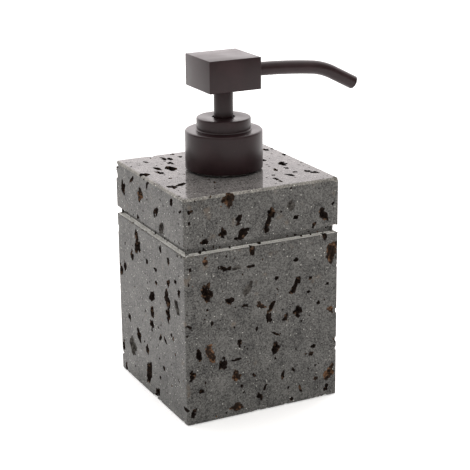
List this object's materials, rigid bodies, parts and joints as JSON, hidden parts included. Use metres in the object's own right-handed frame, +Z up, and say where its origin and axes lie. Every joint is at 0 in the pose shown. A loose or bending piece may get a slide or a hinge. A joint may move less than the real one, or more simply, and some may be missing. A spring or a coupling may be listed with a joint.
{
  "type": "soap pump dispenser",
  "caption": "Square stone block holding a refillable inner bottle, with a screw-on lotion pump, square pump head and a bent spout.",
  "frame": {"origin": "centre of the foot pad's underside, where the dispenser stands", "axes": "+Z up along the pump's axis, +X the way the spout points, +Y to its left"},
  "size_m": [0.1056, 0.075, 0.1542],
  "materials": {
    "lava_stone": "honed, with a polished top",
    "dark_coat": "satin coat",
    "black_plastic": "matte",
    "natural_plastic": "moulded",
    "tube_plastic": "extruded",
    "seal_plastic": "moulded",
    "foam_rubber": "matte",
    "spring_steel": "drawn wire",
    "polished_steel": "polished"
  },
  "bodies": {
    "bottle": {"stone_block": "lava_stone", "inner_bottle": "natural_plastic", "base_plate": "black_plastic", "foot_pad": "foam_rubber"},
    "neck_seal": {"neck_gasket": "foam_rubber"},
    "pump": {"pump_housing": "natural_plastic", "dip_tube": "tube_plastic", "ball_cage": "natural_plastic", "return_spring": "spring_steel", "guide_ring": "black_plastic", "ring_cover": "dark_coat"},
    "collar": {"collar_shell": "dark_coat", "threaded_closure": "black_plastic"},
    "piston": {"piston_seal": "seal_plastic"},
    "head": {"pump_stem": "natural_plastic", "stem_sleeve": "dark_coat", "ball_stop": "natural_plastic", "head_insert": "black_plastic", "head_block": "dark_coat", "spout_tube": "dark_coat"},
    "inlet_valve": {"inlet_ball": "polished_steel"},
    "outlet_valve": {"outlet_ball": "polished_steel"}
  },
  "joints": [
    {"name": "lift_out", "type": "slide", "parent": "bottle", "child": "neck_seal", "axis": [0, 0, 1], "range_m": [0, 0.12]},
    {"name": "pump_rise", "type": "slide", "parent": "neck_seal", "child": "pump", "axis": [0, 0, 1], "range_m": [0, 0.00636]},
    {"name": "collar_turn", "type": "hinge", "parent": "pump", "child": "collar", "pos_m": [0, 0, 0.112], "axis": [0, 0, 1], "range_deg": [0, 540]},
    {"name": "pump_press", "type": "slide", "parent": "pump", "child": "piston", "axis": [0, 0, -1], "range_m": [0, 0.012], "stiffness_N_per_m": 600, "springref_m": -0.006, "deforming": ["return_spring"]},
    {"name": "head_swivel", "type": "hinge", "parent": "piston", "child": "head", "pos_m": [0, 0, 0.1473], "axis": [0, 0, 1], "continuous": true},
    {"name": "inlet_lift", "type": "slide", "parent": "pump", "child": "inlet_valve", "axis": [0, 0, 1], "range_m": [0, 0.0015]},
    {"name": "outlet_lift", "type": "slide", "parent": "head", "child": "outlet_valve", "axis": [0, 0, 1], "range_m": [0, 0.0015]}
  ],
  "couplings": [
    {"joint": "pump_rise", "follows": "collar_turn", "m_per_rad": 0.0006737}
  ]
}
